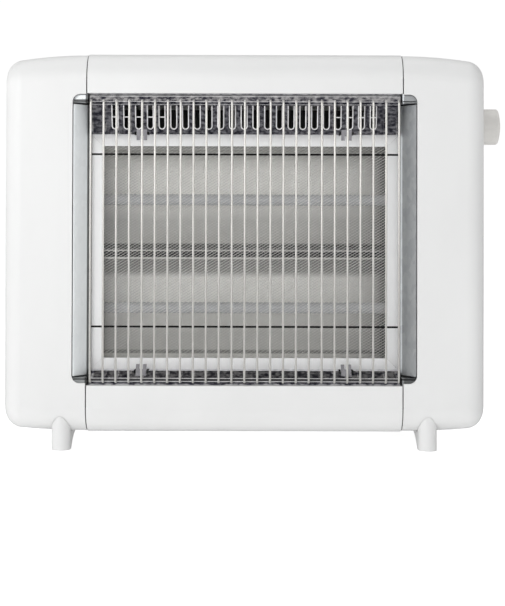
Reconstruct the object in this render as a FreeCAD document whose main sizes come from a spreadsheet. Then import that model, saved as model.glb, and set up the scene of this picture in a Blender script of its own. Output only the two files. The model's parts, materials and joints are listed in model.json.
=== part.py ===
import FreeCAD, Part
import math
import os
import Sketcher
from types import SimpleNamespace

# A white retro halogen heater that stands on two arched feet.
# Millimetres. +Z is up, the front faces -Y, and the control knob is at +X.
# The case is drawn about X = 0, then every piece is shifted so that the knob
# doesn't put the origin off the middle of the whole heater.

# A size that ends in _low is a height above, and one that ends in _high a depth below, the edge that the
# piece goes by: the case's for the window, the cover and the knob, the window's for the wires, the wings,
# the bends and the frame, the frame's and the bend's for the vents. One that ends in _in lies inside a
# seam, a bulkhead or an end.

DRIVING_SIZES = {
    # case
    "body_width": 483.4, "body_depth": 160, "body_height": 382.3, "foot_height": 16.7,
    "edge_radius": 26, "end_radius": 18, "cap_wall": 2.5, "cap_step": 0.8,
    "top_crown": 7.7, "bottom_crown": 4, "sheet": 1, "fit_gap": 0.2,
    "panel_width": 316, "seam_gap": 1.1, "lip_thick": 1.8, "lip_reach": 8, "lip_root": 4,
    "window_low": 48.65, "window_high": 41.1, "notch_width": 14.7, "notch_low": 2.3, "notch_high": 0.9,
    "notch_radius": 8, "hem_depth": 11,
    # back cover
    "cover_low": 32, "cover_high": 32.3, "cover_flange": 14, "slot_tall": 60, "slot_wide": 5,
    "slots_in": 41, "slot_rows_apart": 84, "slot_count": 14,
    # feet
    "foot_out": 25.1, "foot_width": 18.6, "foot_inset": 1.5, "leg_depth": 18, "arch_height": 13.2,
    "arch_margin": 1.7, "foot_screws_apart": 34,
    # guard
    "wire_count": 25, "wires_in": 3.2, "wire_radius": 1.1, "wire_depth": 4, "wire_bend": 3.2,
    "wire_tail": 6, "wire_high": 6.6, "wire_low": 2.85, "cross_radius": 1, "cross_high": 61.1,
    "cross_low": 58.55,
    # side plates
    "plate": 0.8, "bulkhead_in": 0.5, "wing_depth": 22, "wing_high": 9.3, "wing_low": 7.65,
    "wing_gap": 0.9, "wing_slot": 1.6, "slit_tall": 1.2, "slit_past": 2, "plate_flange": 8,
    "bulkhead_margin": 6, "tube_hole_radius": 8.4,
    # reflector sheets round the frame
    "reflector": 0.6, "apron_depth": 8, "face_run": 6, "bend_high": 8.4, "bend_low": 5.85, "shelf_depth": 14,
    "sheet_gap": 1.1, "vent_count": 23, "vents_in": 27.3, "vent_shift": 0.8, "vent_wide": 6, "vent_low": 5.3,
    "vent_high": 3.4,
    # white frame, clips and mesh
    "frame_in": 1.2, "frame_low": 13.65, "frame_high": 40.5, "frame_depth": 30, "frame_thick": 6,
    "rail_tall": 11.2, "stile_wide": 11.8, "mitre_gap": 0.25, "clip_spread": 206.8, "clip_shift": 0.8,
    "prong_wide": 3.6, "prong_gap": 3.4, "clip_hold": 5.8, "clip_rise": 4.9, "clip_bridge": 1.6,
    "relief_wide": 2.1, "relief_tall": 2.6,
    "mesh_thick": 0.5, "mesh_margin": 4, "mesh_columns": 20, "mesh_rows": 15, "mesh_strand": 2.4,
    # troughs and tubes
    "tube_drop": 2.5, "tube_depth": 55, "trough_high": 14.7, "trough_low": 9.7, "trough_lip": 1.9,
    "trough_flat": 12, "trough_depth": 42, "trough_gap": 6.2, "tube_radius": 5.7, "tube_wall": 1,
    "tube_reach": 9.2,
    "ceramic_radius": 7.8, "ceramic_length": 22, "ceramic_overlap": 6, "holder_length": 12,
    "holder_wall": 1.2, "holder_flange": 13.5, "filament_radius": 1.4, "support_radius": 4.3,
    "support_count": 7, "support_thick": 0.8, "running_gap": 0.05,
    # shield and electrical parts
    "shield_margin": 6, "cutout_radius": 8, "cutout_length": 6, "cutout_wide": 26, "cutout_tall": 13,
    "block_long": 42, "block_wide": 22, "block_tall": 17, "gland_bore": 3.75, "gland_neck": 6.5,
    "gland_flange": 9, "gland_proud": 2.5, "gland_depth": 8, "gland_in": 38, "gland_low": 34,
    # switch and knob
    "knob_high": 69.3, "knob_radius": 18.75, "knob_length": 24, "knob_round": 2.4, "knob_dome": 2.4,
    "knob_gap": 0.6, "shaft_radius": 3, "shaft_reach": 14, "shaft_hole": 5, "switch_side": 36,
    "switch_length": 27, "pointer_wide": 2, "pointer_deep": 0.8,
    # tip-over switch
    "tip_drop": 19.5, "tip_long": 24, "tip_wide": 46, "tip_tall": 50, "tip_wall": 1.2, "pin_radius": 1.5,
    "pin_drop": 8, "arm_length": 27, "arm_wide": 4, "bob_radius": 9, "bob_thick": 12, "hub_radius": 4,
    "contact_long": 8, "contact_wide": 20, "contact_tall": 14,
    # screws
    "screw_radius": 1.8, "screw_length": 12, "screw_head": 3.8, "screw_head_tall": 2.2, "screw_gap": 0.2,
    "cover_screw_edge": 7, "cover_screws_in": 26, "boss_radius": 5, "boss_tall": 12,
}

doc = FreeCAD.newDocument("halogen_heater")
sheet = doc.addObject("Spreadsheet::Sheet", "Sizes")
for row, (alias, amount) in enumerate(DRIVING_SIZES.items(), start=1):
    sheet.set(f"A{row}", str(amount))
    sheet.setAlias(f"A{row}", alias)
doc.recompute()


class Size:
    """A length that holds its value now and the formula that binds it to the sheet."""

    def __init__(self, value, formula):
        self.value = float(value)
        self.formula = formula

    def __add__(self, other):
        return Size(self.value + value_of(other), f"({self.formula} + {formula_of(other)})")

    def __sub__(self, other):
        return Size(self.value - value_of(other), f"({self.formula} - {formula_of(other)})")

    def __mul__(self, other):
        return Size(self.value * value_of(other), f"({self.formula} * {formula_of(other)})")

    def __truediv__(self, other):
        return Size(self.value / value_of(other), f"({self.formula} / {formula_of(other)})")

    def __rsub__(self, other):
        return Size(value_of(other) - self.value, f"({formula_of(other)} - {self.formula})")

    def __neg__(self):
        return self * -1

    __radd__ = __add__
    __rmul__ = __mul__


def value_of(item):
    return item.value if isinstance(item, Size) else float(item)


def formula_of(item):
    return item.formula if isinstance(item, Size) else f"({float(item)})"


def root(item):
    return Size(math.sqrt(item.value), f"sqrt({item.formula})")


def bind(thing, prop, amount):
    if isinstance(amount, Size):
        thing.setExpression(prop, amount.formula)


S = SimpleNamespace(**{alias: Size(sheet.get(alias), f"Sizes.{alias}") for alias in DRIVING_SIZES})

# Places that many pieces share

front = -S.body_depth / 2
back = S.body_depth / 2
bottom = S.foot_height
top = bottom + S.body_height
seam = S.panel_width / 2
rim = seam + S.seam_gap
end = S.body_width / 2
lip_outer = S.sheet + S.fit_gap
lip_inner = lip_outer + S.lip_thick
bulkhead = seam - S.bulkhead_in
bulkhead_outside = bulkhead + S.plate
sheet_half = bulkhead - S.sheet_gap
trough_half = bulkhead - S.fit_gap
foot_x = rim + S.foot_out
notch_edge = seam + S.notch_width
window_low, window_high = bottom + S.window_low, top - S.window_high
cover_low, cover_high = bottom + S.cover_low, top - S.cover_high
bend_low, bend_high = window_low + S.bend_low, window_high - S.bend_high
frame_low, frame_high = window_low + S.frame_low, window_high - S.frame_high
frame_half = bulkhead - S.frame_in
wire_row = (seam - S.wires_in) * 2
wire_low, wire_high = window_low + S.wire_low, window_high - S.wire_high
cover_screw_x = seam - S.cover_screws_in
cover_screw_levels = (cover_low + S.cover_screw_edge, cover_high - S.cover_screw_edge)
gland_x, gland_z = seam - S.gland_in, cover_low + S.gland_low
knob_z = top - S.knob_high
apron_y = front + S.apron_depth
face_end = apron_y + S.face_run
wire_y = front + S.wire_depth
frame_y = front + S.frame_depth
mesh_y = frame_y + S.frame_thick
trough_y = mesh_y + S.mesh_thick
shield_y = trough_y + S.trough_depth + S.reflector
tube_y = front + S.tube_depth
tube_middle = (frame_low + frame_high) / 2 - S.tube_drop
trough_inner = S.trough_gap / 2 + S.trough_lip
trough_mouths = {
    "upper": (tube_middle + trough_inner, frame_high - S.trough_high),
    "lower": (frame_low + S.trough_low, tube_middle - trough_inner),
}
tube_levels = {name: (low + high) / 2 for name, (low, high) in trough_mouths.items()}
tube_half = bulkhead_outside + S.tube_reach
sides = {"left": -1, "right": 1}
clip_half = S.prong_wide + S.prong_gap / 2
clip_places = [S.clip_spread / 2 * sign - S.clip_shift for sign in sides.values()]
centre_shift = (S.knob_gap + S.knob_length + S.knob_dome) / 2

sub_parts = []


# Drawing helpers

def keep(thing, label):
    """Name a finished sub-part and move it so that the whole heater is centred."""
    thing.Label = label
    bind(thing, "Placement.Base.x", -centre_shift)
    sub_parts.append(thing)
    return thing


def new_body(name):
    return doc.addObject("PartDesign::Body", name)


def new_sketch(body, role, shift=(0, 0, 0)):
    """A sketch on one of the body's own planes, shifted along the plane's own axes."""
    plane = next(item for item in body.Origin.OriginFeatures if item.Role == role)
    sketch = body.newObject("Sketcher::SketchObject", body.Name + "_sketch")
    sketch.AttachmentSupport = (plane, [""])
    sketch.MapMode = "FlatFace"
    for letter, amount in zip("xyz", shift):
        bind(sketch, f"AttachmentOffset.Base.{letter}", amount)
    return sketch


def arc_between(start, finish, radius):
    """The short arc from start to finish: a positive radius turns left, a negative one right."""
    chord = finish - start
    reach = math.sqrt(max(radius * radius - chord.Length * chord.Length / 4, 0))
    left = FreeCAD.Vector(-chord.y, chord.x, 0).normalize()
    turn = math.copysign(1, radius)
    centre = (start + finish) / 2 + left * reach * turn
    first, last = (start, finish) if turn > 0 else (finish, start)
    angles = [math.atan2(point.y - centre.y, point.x - centre.x) for point in (first, last)]
    circle = Part.Circle(centre, FreeCAD.Vector(0, 0, 1), abs(radius))
    return Part.ArcOfCircle(circle, angles[0], angles[1])


def draw_loop(sketch, corners):
    """A closed outline. A corner is (x, y), or (x, y, radius) where an arc leads on to the next one."""
    first = sketch.GeometryCount
    points = [FreeCAD.Vector(value_of(corner[0]), value_of(corner[1]), 0) for corner in corners]
    starts, finishes = [], []
    for index, corner in enumerate(corners):
        start, finish = points[index], points[(index + 1) % len(points)]
        radius = value_of(corner[2]) if len(corner) == 3 else 0
        curve = arc_between(start, finish, radius) if radius else Part.LineSegment(start, finish)
        sketch.addGeometry(curve, False)
        starts.append(2 if radius < 0 else 1)
        finishes.append(1 if radius < 0 else 2)
    rules, amounts = [], []
    for index, corner in enumerate(corners):
        line, following = first + index, first + (index + 1) % len(corners)
        after = starts[(index + 1) % len(corners)]
        rules.append(Sketcher.Constraint("Coincident", line, finishes[index], following, after))
        amounts.append(None)
        for kind, amount in (("DistanceX", corner[0]), ("DistanceY", corner[1])):
            rules.append(Sketcher.Constraint(kind, -1, 1, line, starts[index], value_of(amount)))
            amounts.append(amount)
        if len(corner) == 3:
            rules.append(Sketcher.Constraint("Radius", line, abs(value_of(corner[2]))))
            amounts.append(corner[2] if value_of(corner[2]) > 0 else -corner[2])
    for place, amount in zip(sketch.addConstraint(rules), amounts):
        bind(sketch, f"Constraints[{place}]", amount)


def draw_circle(sketch, x, y, radius):
    centre = FreeCAD.Vector(value_of(x), value_of(y), 0)
    circle = Part.Circle(centre, FreeCAD.Vector(0, 0, 1), value_of(radius))
    line = sketch.addGeometry(circle, False)
    rules = [Sketcher.Constraint("DistanceX", -1, 1, line, 3, value_of(x)),
             Sketcher.Constraint("DistanceY", -1, 1, line, 3, value_of(y)),
             Sketcher.Constraint("Radius", line, value_of(radius))]
    for place, amount in zip(sketch.addConstraint(rules), (x, y, radius)):
        bind(sketch, f"Constraints[{place}]", amount)


def rectangle(x0, y0, x1, y1):
    return [(x0, y0), (x1, y0), (x1, y1), (x0, y1)]


def extrude(body, sketch, length, kind="Pad", both_ways=False, backwards=False):
    """Add (Pad) or take away (Pocket) the sketch's shape over a length."""
    feature = body.newObject("PartDesign::" + kind, body.Name + "_" + kind.lower())
    feature.Profile = sketch
    bind(feature, "Length", length)
    feature.SideType = "Symmetric" if both_ways else "One side"
    feature.Reversed = backwards
    sketch.Visibility = False
    doc.recompute()
    return feature


def cut(body, sketch, length, backwards=False):
    """Take the sketch's shape away, and make sure that something went."""
    before = body.Shape.Volume
    feature = extrude(body, sketch, length, "Pocket", backwards=backwards)
    if body.Shape.Volume > before - 0.01:
        raise ValueError(f"a cut in {body.Name} takes nothing away")
    return feature


def repeat(body, feature, sketch, axis, length, count):
    """A row of the feature along one of its sketch's axes."""
    row = body.newObject("PartDesign::LinearPattern", body.Name + "_row")
    row.Originals = [feature]
    row.Direction = (sketch, [axis])
    bind(row, "Length", length)
    bind(row, "Occurrences", count)
    body.Tip = row
    doc.recompute()
    return row


def spin(body, sketch):
    """Turn the sketch right round its own horizontal axis."""
    feature = body.newObject("PartDesign::Revolution", body.Name + "_turn")
    feature.Profile = sketch
    feature.ReferenceAxis = (sketch, ["H_Axis"])
    feature.Angle = 360
    doc.recompute()
    return feature


def round_edges(body, base, radius, wanted):
    """Round those edges of the base that the test picks."""
    names = [f"Edge{index}" for index, edge in enumerate(base.Shape.Edges, start=1) if wanted(edge)]
    feature = body.newObject("PartDesign::Fillet", body.Name + "_round")
    feature.Base = (base, names)
    bind(feature, "Radius", radius)
    doc.recompute()
    return feature


def lies_at(shape, axis, place):
    """Whether all of a shape's corners lie at one place along an axis."""
    near = 0.001
    return all(abs(getattr(corner.Point, axis) - value_of(place)) < near for corner in shape.Vertexes)


def box(name, low, high):
    """A block from its low corner to its high corner."""
    block = doc.addObject("Part::Box", name)
    for prop, letter, small, large in zip(("Length", "Width", "Height"), "xyz", low, high):
        bind(block, prop, large - small)
        bind(block, f"Placement.Base.{letter}", small)
    return block


def rod(name, axis, start, length, radius):
    """A round bar that runs from its start along +X, +Y or +Z."""
    bar = doc.addObject("Part::Cylinder", name)
    turns = {"x": ((0, 1, 0), 90), "y": ((1, 0, 0), -90), "z": ((0, 0, 1), 0)}
    direction, angle = turns[axis]
    bar.Placement.Rotation = FreeCAD.Rotation(FreeCAD.Vector(*direction), angle)
    bind(bar, "Radius", radius)
    bind(bar, "Height", length)
    for letter, amount in zip("xyz", start):
        bind(bar, f"Placement.Base.{letter}", amount)
    return bar


def join(name, pieces):
    joined = doc.addObject("Part::MultiFuse", name)
    joined.Shapes = pieces
    return joined


def take(name, base, tool):
    left_over = doc.addObject("Part::Cut", name)
    left_over.Base = base
    left_over.Tool = tool
    return left_over


def group(name, pieces):
    """Separate solids that share one node."""
    together = doc.addObject("Part::Compound", name)
    together.Links = pieces
    return together


# Case

def end_cap(side, sign):
    """A moulded shell: crowned top and bottom, a notch beside the window, a lip under the panels."""
    body = new_body(side + "_end_cap")
    low, high = bottom + S.cap_step, top - S.cap_step
    span = end - rim
    low_radius = (span * span + S.bottom_crown * S.bottom_crown) / (S.bottom_crown * 2)
    high_radius = (span * span + S.top_crown * S.top_crown) / (S.top_crown * 2)
    profile = new_sketch(body, "XZ_Plane")
    draw_loop(profile, [(rim * sign, low, low_radius * sign), (end * sign, low + S.bottom_crown),
                        (end * sign, high - S.top_crown, high_radius * sign), (rim * sign, high)])
    block = extrude(body, profile, S.body_depth, both_ways=True)
    long_edges = round_edges(body, block, S.edge_radius, lambda edge: isinstance(edge.Curve, Part.Circle))
    end_face = next(face for face in long_edges.Shape.Faces if lies_at(face, "x", end * sign))
    rounded = round_edges(body, long_edges, S.end_radius,
                          lambda edge: any(edge.isSame(other) for other in end_face.Edges))
    mouth = next(f"Face{index}" for index, face in enumerate(rounded.Shape.Faces, start=1)
                 if lies_at(face, "x", rim * sign))
    shell = body.newObject("PartDesign::Thickness", body.Name + "_shell")
    shell.Base = (rounded, [mouth])
    shell.Reversed = True
    bind(shell, "Value", S.cap_wall)
    doc.recompute()
    cap_notch(body, sign)
    cap_lip(body, sign)
    cap_bosses(body, sign)
    if side == "right":
        hole = new_sketch(body, "YZ_Plane", (0, 0, end + S.cap_wall))
        draw_circle(hole, 0, knob_z, S.shaft_hole)
        cut(body, hole, S.cap_wall * 3)
    keep(body, side + "_end_cap")


def cap_notch(body, sign):
    """The rounded notch that widens the window into the cap's front wall."""
    notch = new_sketch(body, "XZ_Plane", (0, 0, -front))
    edge, curve = notch_edge * sign, S.notch_radius * sign
    inner = seam * sign
    low, high = window_low + S.notch_low, window_high - S.notch_high
    draw_loop(notch, [(inner, low), (edge - curve, low, curve), (edge, low + S.notch_radius),
                      (edge, high - S.notch_radius, curve), (edge - curve, high), (inner, high)])
    cut(body, notch, S.edge_radius)


def cap_lip(body, sign):
    """Two bent lips, top and bottom, that carry the edges of the panels."""
    for crown, up in ((top, 1), (bottom, -1)):
        level = crown - S.edge_radius * up
        lip = new_sketch(body, "YZ_Plane", (0, 0, (rim - S.lip_reach) * sign))
        outside, inside = (S.edge_radius - lip_outer) * -up, (S.edge_radius - lip_inner) * up
        draw_loop(lip, [(front + lip_outer, level, outside), (front + S.edge_radius, crown - lip_outer * up),
                        (back - S.edge_radius, crown - lip_outer * up, outside), (back - lip_outer, level),
                        (back - lip_inner, level, inside), (back - S.edge_radius, crown - lip_inner * up),
                        (front + S.edge_radius, crown - lip_inner * up, inside), (front + lip_inner, level)])
        extrude(body, lip, S.lip_reach + S.lip_root, backwards=sign < 0)


def cap_bosses(body, sign):
    """Posts inside the floor of the cap that take the foot screws, each with its pilot hole."""
    posts = new_sketch(body, "XY_Plane", (0, 0, bottom + S.cap_wall))
    holes = new_sketch(body, "XY_Plane", (0, 0, bottom - S.cap_wall))
    for place in (-S.foot_screws_apart / 2, S.foot_screws_apart / 2):
        draw_circle(posts, foot_x * sign, place, S.boss_radius)
        draw_circle(holes, foot_x * sign, place, S.screw_radius + S.screw_gap)
    extrude(body, posts, S.boss_tall)
    cut(body, holes, S.boss_tall + S.cap_wall * 3, backwards=True)


def case_panel(name, crown, up, window_edge, cover_edge):
    """Bent sheet with a hem along the window and a joggled flange that the back cover lies on."""
    body = new_body(name)
    curve_level = crown - S.edge_radius * up
    outside, inside = S.edge_radius * -up, (S.edge_radius - S.sheet) * up
    step = cover_edge + S.fit_gap * up
    tip = cover_edge - S.cover_flange * up
    section = new_sketch(body, "YZ_Plane")
    draw_loop(section, [
        (front + S.hem_depth, window_edge), (front, window_edge), (front, curve_level, outside),
        (front + S.edge_radius, crown), (back - S.edge_radius, crown, outside), (back, curve_level),
        (back, step), (back - S.sheet, step), (back - S.sheet, tip), (back - S.sheet * 2, tip),
        (back - S.sheet * 2, step + S.sheet * up), (back - S.sheet, step + S.sheet * up),
        (back - S.sheet, curve_level, inside), (back - S.edge_radius, crown - S.sheet * up),
        (front + S.edge_radius, crown - S.sheet * up, inside), (front + S.sheet, curve_level),
        (front + S.sheet, window_edge + S.sheet * up), (front + S.hem_depth, window_edge + S.sheet * up)])
    extrude(body, section, S.panel_width, both_ways=True)
    holes = new_sketch(body, "XZ_Plane", (0, 0, -back))
    for place in (-1, 0, 1):
        draw_circle(holes, cover_screw_x * place, cover_edge - S.cover_screw_edge * up,
                    S.screw_radius + S.screw_gap)
    cut(body, holes, S.sheet * 4, backwards=True)
    keep(body, name)


def back_cover():
    """Flat plate with two rows of air slots, screw holes and the cord hole."""
    body = new_body("back_cover")
    plate = new_sketch(body, "XZ_Plane", (0, 0, -back))
    draw_loop(plate, rectangle(-seam, cover_low, seam, cover_high))
    for place in (-1, 0, 1):
        for level in cover_screw_levels:
            draw_circle(plate, cover_screw_x * place, level, S.screw_radius + S.screw_gap)
    draw_circle(plate, gland_x, gland_z, S.gland_neck + S.fit_gap)
    extrude(body, plate, S.sheet)
    slots = new_sketch(body, "XZ_Plane", (0, 0, -back + S.sheet))
    row = (seam - S.slots_in) * 2
    middle = (cover_low + cover_high) / 2
    for way in (-1, 1):
        centre = middle + S.slot_rows_apart / 2 * way
        draw_loop(slots, rectangle(-row / 2 - S.slot_wide / 2, centre - S.slot_tall / 2,
                                   -row / 2 + S.slot_wide / 2, centre + S.slot_tall / 2))
    slot = cut(body, slots, S.sheet * 2)
    repeat(body, slot, slots, "H_Axis", row, S.slot_count)
    keep(body, "back_cover")


def foot(side, sign):
    """Front leg, arch and rear leg in one piece, with a top that follows the case's underside."""
    body = new_body(side + "_foot")
    near, far = front + S.foot_inset, back - S.foot_inset
    inset_left = S.edge_radius - S.foot_inset
    shoulder = bottom + S.edge_radius - root(S.edge_radius * S.edge_radius - inset_left * inset_left)
    flat_half = S.foot_screws_apart / 2 + S.screw_head + S.arch_margin
    run = far - S.leg_depth - flat_half
    arch = (run * run + S.arch_height * S.arch_height) / (S.arch_height * 2)
    profile = new_sketch(body, "YZ_Plane", (0, 0, foot_x * sign))
    draw_loop(profile, [
        (near, 0), (near + S.leg_depth, 0, -arch), (-flat_half, S.arch_height),
        (flat_half, S.arch_height, -arch), (far - S.leg_depth, 0), (far, 0),
        (far, shoulder, -S.edge_radius), (back - S.edge_radius, bottom),
        (front + S.edge_radius, bottom, -S.edge_radius), (near, shoulder)])
    extrude(body, profile, S.foot_width, both_ways=True)
    half = S.foot_width / 2
    middle = foot_x * sign
    trim = new_sketch(body, "XY_Plane", (0, 0, bottom + S.edge_radius))
    draw_loop(trim, rectangle(middle - S.foot_width, front - half, middle + S.foot_width, back + half))
    draw_loop(trim, [(middle - half, near + half, half), (middle, near, half), (middle + half, near + half),
                     (middle + half, far - half, half), (middle, far, half), (middle - half, far - half)])
    cut(body, trim, S.edge_radius + S.foot_height * 2)
    holes = new_sketch(body, "XY_Plane", (0, 0, bottom + S.screw_gap))
    for place in (-S.foot_screws_apart / 2, S.foot_screws_apart / 2):
        draw_circle(holes, middle, place, S.screw_radius + S.screw_gap)
    cut(body, holes, S.foot_height)
    keep(body, side + "_foot")


# Guard

def guard_uprights():
    """The row of upright wires, whose ends bend back into the aprons of the reflector sheets."""
    body = new_body("guard_uprights")
    first = -wire_row / 2
    tail_end = wire_y + S.wire_bend + S.wire_tail
    path = new_sketch(body, "YZ_Plane", (0, 0, first))
    route = [(tail_end, wire_low), (wire_y + S.wire_bend, wire_low, -S.wire_bend),
             (wire_y, wire_low + S.wire_bend), (wire_y, wire_high - S.wire_bend, -S.wire_bend),
             (wire_y + S.wire_bend, wire_high), (tail_end, wire_high)]
    draw_loop(path, route)
    path.delGeometry(path.GeometryCount - 1)
    section = new_sketch(body, "XZ_Plane", (0, 0, -tail_end))
    draw_circle(section, first, wire_low, S.wire_radius)
    wire = body.newObject("PartDesign::AdditivePipe", "guard_wire")
    wire.Profile = section
    wire.Spine = path
    doc.recompute()
    repeat(body, wire, section, "H_Axis", wire_row, S.wire_count)
    keep(body, "guard_uprights")


def guard_cross_wires():
    """Two straight wires that lie behind the uprights."""
    reach = wire_row / 2 + S.wire_radius
    y = wire_y + S.wire_radius + S.cross_radius
    wires = [rod("cross_wire", "x", (-reach, y, level), reach * 2, S.cross_radius)
             for level in (window_high - S.cross_high, window_low + S.cross_low)]
    keep(group("guard_cross_wires", wires), "guard_cross_wires")


# Sheet metal round the window

def side_plate(side, sign):
    """Bulkhead for the tubes, with a slanted wing in the cap's notch, and a ledge and flange at its ends."""
    body = new_body(side + "_side_plate")
    low, high = bottom + lip_inner + S.bulkhead_margin, top - lip_inner - S.bulkhead_margin
    curve = S.edge_radius - lip_inner - S.bulkhead_margin
    far = back - lip_inner - S.bulkhead_margin
    near = front + S.wing_depth
    wall = new_sketch(body, "YZ_Plane", (0, 0, bulkhead * sign))
    draw_loop(wall, [(near, low), (far - curve, low, curve), (far, low + curve), (far, high - curve, curve),
                     (far - curve, high), (near, high)])
    for level in tube_levels.values():
        draw_circle(wall, tube_y, level, S.tube_hole_radius)
    extrude(body, wall, S.plate, backwards=sign < 0)
    wing_low, wing_high = window_low + S.wing_low, window_high - S.wing_high
    inside = front + S.cap_wall
    edge = notch_edge - S.wing_gap - S.plate
    slope = (edge - bulkhead) / (near - inside)
    slant = S.plate * root(slope * slope + 1)
    wing = new_sketch(body, "XY_Plane", (0, 0, wing_low + S.wing_slot))
    draw_loop(wing, [(edge * sign, inside), ((edge + slant) * sign, inside),
                     ((bulkhead + slant) * sign, near), ((bulkhead + S.plate) * sign, near + S.plate),
                     (bulkhead * sign, near + S.plate), (bulkhead * sign, near)])
    extrude(body, wing, wing_high - wing_low - S.wing_slot * 2)
    for level, downwards in ((wing_high, False), (wing_low, True)):
        ledge = new_sketch(body, "XY_Plane", (0, 0, level))
        draw_loop(ledge, [(bulkhead * sign, inside), ((edge + slant) * sign, inside),
                          ((bulkhead + slant) * sign, near), ((bulkhead + S.plate) * sign, near + S.plate),
                          (bulkhead * sign, near + S.plate)])
        extrude(body, ledge, S.plate, backwards=downwards)
    flanges = new_sketch(body, "XZ_Plane", (0, 0, -inside))
    outer, tall = (notch_edge + S.plate_flange) * sign, S.plate_flange * 2
    for level, hem, way in ((wing_high, window_high, 1), (wing_low, window_low, -1)):
        clear, tip = hem - S.fit_gap * way, level + tall * way
        draw_loop(flanges, [(bulkhead * sign, level), (outer, level), (outer, tip), (rim * sign, tip),
                            (rim * sign, clear), (bulkhead * sign, clear)])
    extrude(body, flanges, S.plate, backwards=True)
    slits = new_sketch(body, "XZ_Plane", (0, 0, -front))
    outer = (notch_edge + S.slit_past) * sign
    for ledge_face, tall in ((wing_high + S.plate, S.slit_tall), (wing_low - S.plate, -S.slit_tall)):
        draw_loop(slits, rectangle((bulkhead - S.slit_past) * sign, ledge_face, outer, ledge_face + tall))
    cut(body, slits, S.cap_wall + S.plate * 2)
    keep(body, side + "_side_plate")


def slope_of(edge, bend, up):
    """How far the steep face of a bright sheet rises per length of depth, and the length of that stretch."""
    slope = (bend - edge) * up / S.face_run
    return slope, root(slope * slope + 1)


def reflector_sheet(name, up, hem, bend, frame_edge, wire_level):
    """Bright sheet: an apron along the hem, a steep face with clip reliefs, and a shelf to the frame."""
    body = new_body(name)
    slope, steepness = slope_of(frame_edge, bend, up)
    lift = S.reflector * steepness
    shelf_end = frame_y + S.shelf_depth
    shelf_back = frame_edge + S.reflector * up
    section = new_sketch(body, "YZ_Plane")
    draw_loop(section, [
        (apron_y, hem), (apron_y, bend), (face_end, frame_edge), (shelf_end, frame_edge),
        (shelf_end, shelf_back), (face_end + (lift - S.reflector) / slope, shelf_back),
        (apron_y + S.reflector, bend + (lift - S.reflector * slope) * up), (apron_y + S.reflector, hem)])
    extrude(body, section, sheet_half * 2, both_ways=True)
    holes = new_sketch(body, "XZ_Plane", (0, 0, -front))
    draw_circle(holes, -wire_row / 2, wire_level, S.wire_radius + S.fit_gap)
    hole = cut(body, holes, S.apron_depth + S.reflector * 2)
    repeat(body, hole, holes, "H_Axis", wire_row, S.wire_count)
    reliefs = new_sketch(body, "XZ_Plane", (0, 0, -front))
    for middle in clip_places:
        for way in (-1, 1):
            near = middle + clip_half * way
            draw_loop(reliefs, rectangle(near, frame_edge - S.reflector * up, near + S.relief_wide * way,
                                         frame_edge + S.relief_tall * up))
    cut(body, reliefs, S.frame_depth)
    return body


def top_reflector():
    """The upper sheet, with a row of round-bottomed air slots."""
    body = reflector_sheet("top_reflector", 1, window_high, bend_high, frame_high, wire_high)
    row = (bulkhead - S.vents_in) * 2
    first, half = -row / 2 - S.vent_shift, S.vent_wide / 2
    low, high = frame_high + S.vent_low, bend_high - S.vent_high
    slots = new_sketch(body, "XZ_Plane", (0, 0, -front))
    draw_loop(slots, [(first - half, high), (first - half, low + half, half), (first, low, half),
                      (first + half, low + half), (first + half, high)])
    slot = cut(body, slots, S.frame_depth + S.shelf_depth)
    repeat(body, slot, slots, "H_Axis", row, S.vent_count)
    keep(body, "top_reflector")


def bottom_reflector():
    body = reflector_sheet("bottom_reflector", -1, window_low, bend_low, frame_low, wire_low)
    keep(body, "bottom_reflector")


# White frame and mesh

def frame_rail(name, corners_at):
    """A mitred rail of angle section: a face, and a lip along its outer edge that reaches the mesh."""
    body = new_body(name)
    for inset_share, depth in ((1, S.sheet), (0, S.frame_thick)):
        outline = new_sketch(body, "XZ_Plane", (0, 0, -frame_y))
        draw_loop(outline, corners_at(inset_share))
        extrude(body, outline, depth, backwards=True)
    keep(body, name)


def level_rail(edge, up):
    """The corners of the top or bottom rail, for its face (share 1) or its lip (share 0)."""
    def corners(share):
        tall = S.rail_tall if share else S.sheet
        wide = S.stile_wide if share else S.sheet
        outer, inner = frame_half, frame_half - wide
        return [(-outer, edge), (outer, edge), (inner, edge - tall * up), (-inner, edge - tall * up)]
    return corners


def upright_rail(sign):
    """The corners of the left or right rail, for its face (share 1) or its lip (share 0)."""
    def corners(share):
        tall = S.rail_tall if share else S.sheet
        wide = S.stile_wide if share else S.sheet
        outer, inner = frame_half * sign, (frame_half - wide) * sign
        return [(outer, frame_low + S.mitre_gap), (outer, frame_high - S.mitre_gap),
                (inner, frame_high - tall - S.mitre_gap), (inner, frame_low + tall + S.mitre_gap)]
    return corners


def frame_clips():
    """Four two-pronged clips that lie on the steep faces and reach over the frame's rails."""
    clips = []
    for edge, bend, up in ((frame_high, bend_high, 1), (frame_low, bend_low, -1)):
        slope, steepness = slope_of(edge, bend, up)
        forward, inward = S.reflector * slope / steepness, -S.reflector / steepness * up
        tip = edge - S.clip_hold * up
        tip_y, top_y = face_end + S.clip_hold / slope, face_end - S.clip_rise / slope
        top_z = edge + S.clip_rise * up
        for middle in clip_places:
            body = new_body("frame_clip")
            section = new_sketch(body, "YZ_Plane", (0, 0, middle))
            draw_loop(section, [(tip_y, tip), (top_y, top_z), (top_y - forward, top_z + inward),
                                (tip_y - forward, tip + inward)])
            extrude(body, section, clip_half * 2, both_ways=True)
            gap = new_sketch(body, "XZ_Plane", (0, 0, -front))
            half = S.prong_gap / 2
            draw_loop(gap, rectangle(middle - half, tip - S.clip_hold * up,
                                     middle + half, edge - S.clip_bridge * up))
            cut(body, gap, S.frame_depth)
            clips.append(body)
    keep(group("frame_clips", clips), "frame_clips")


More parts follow.
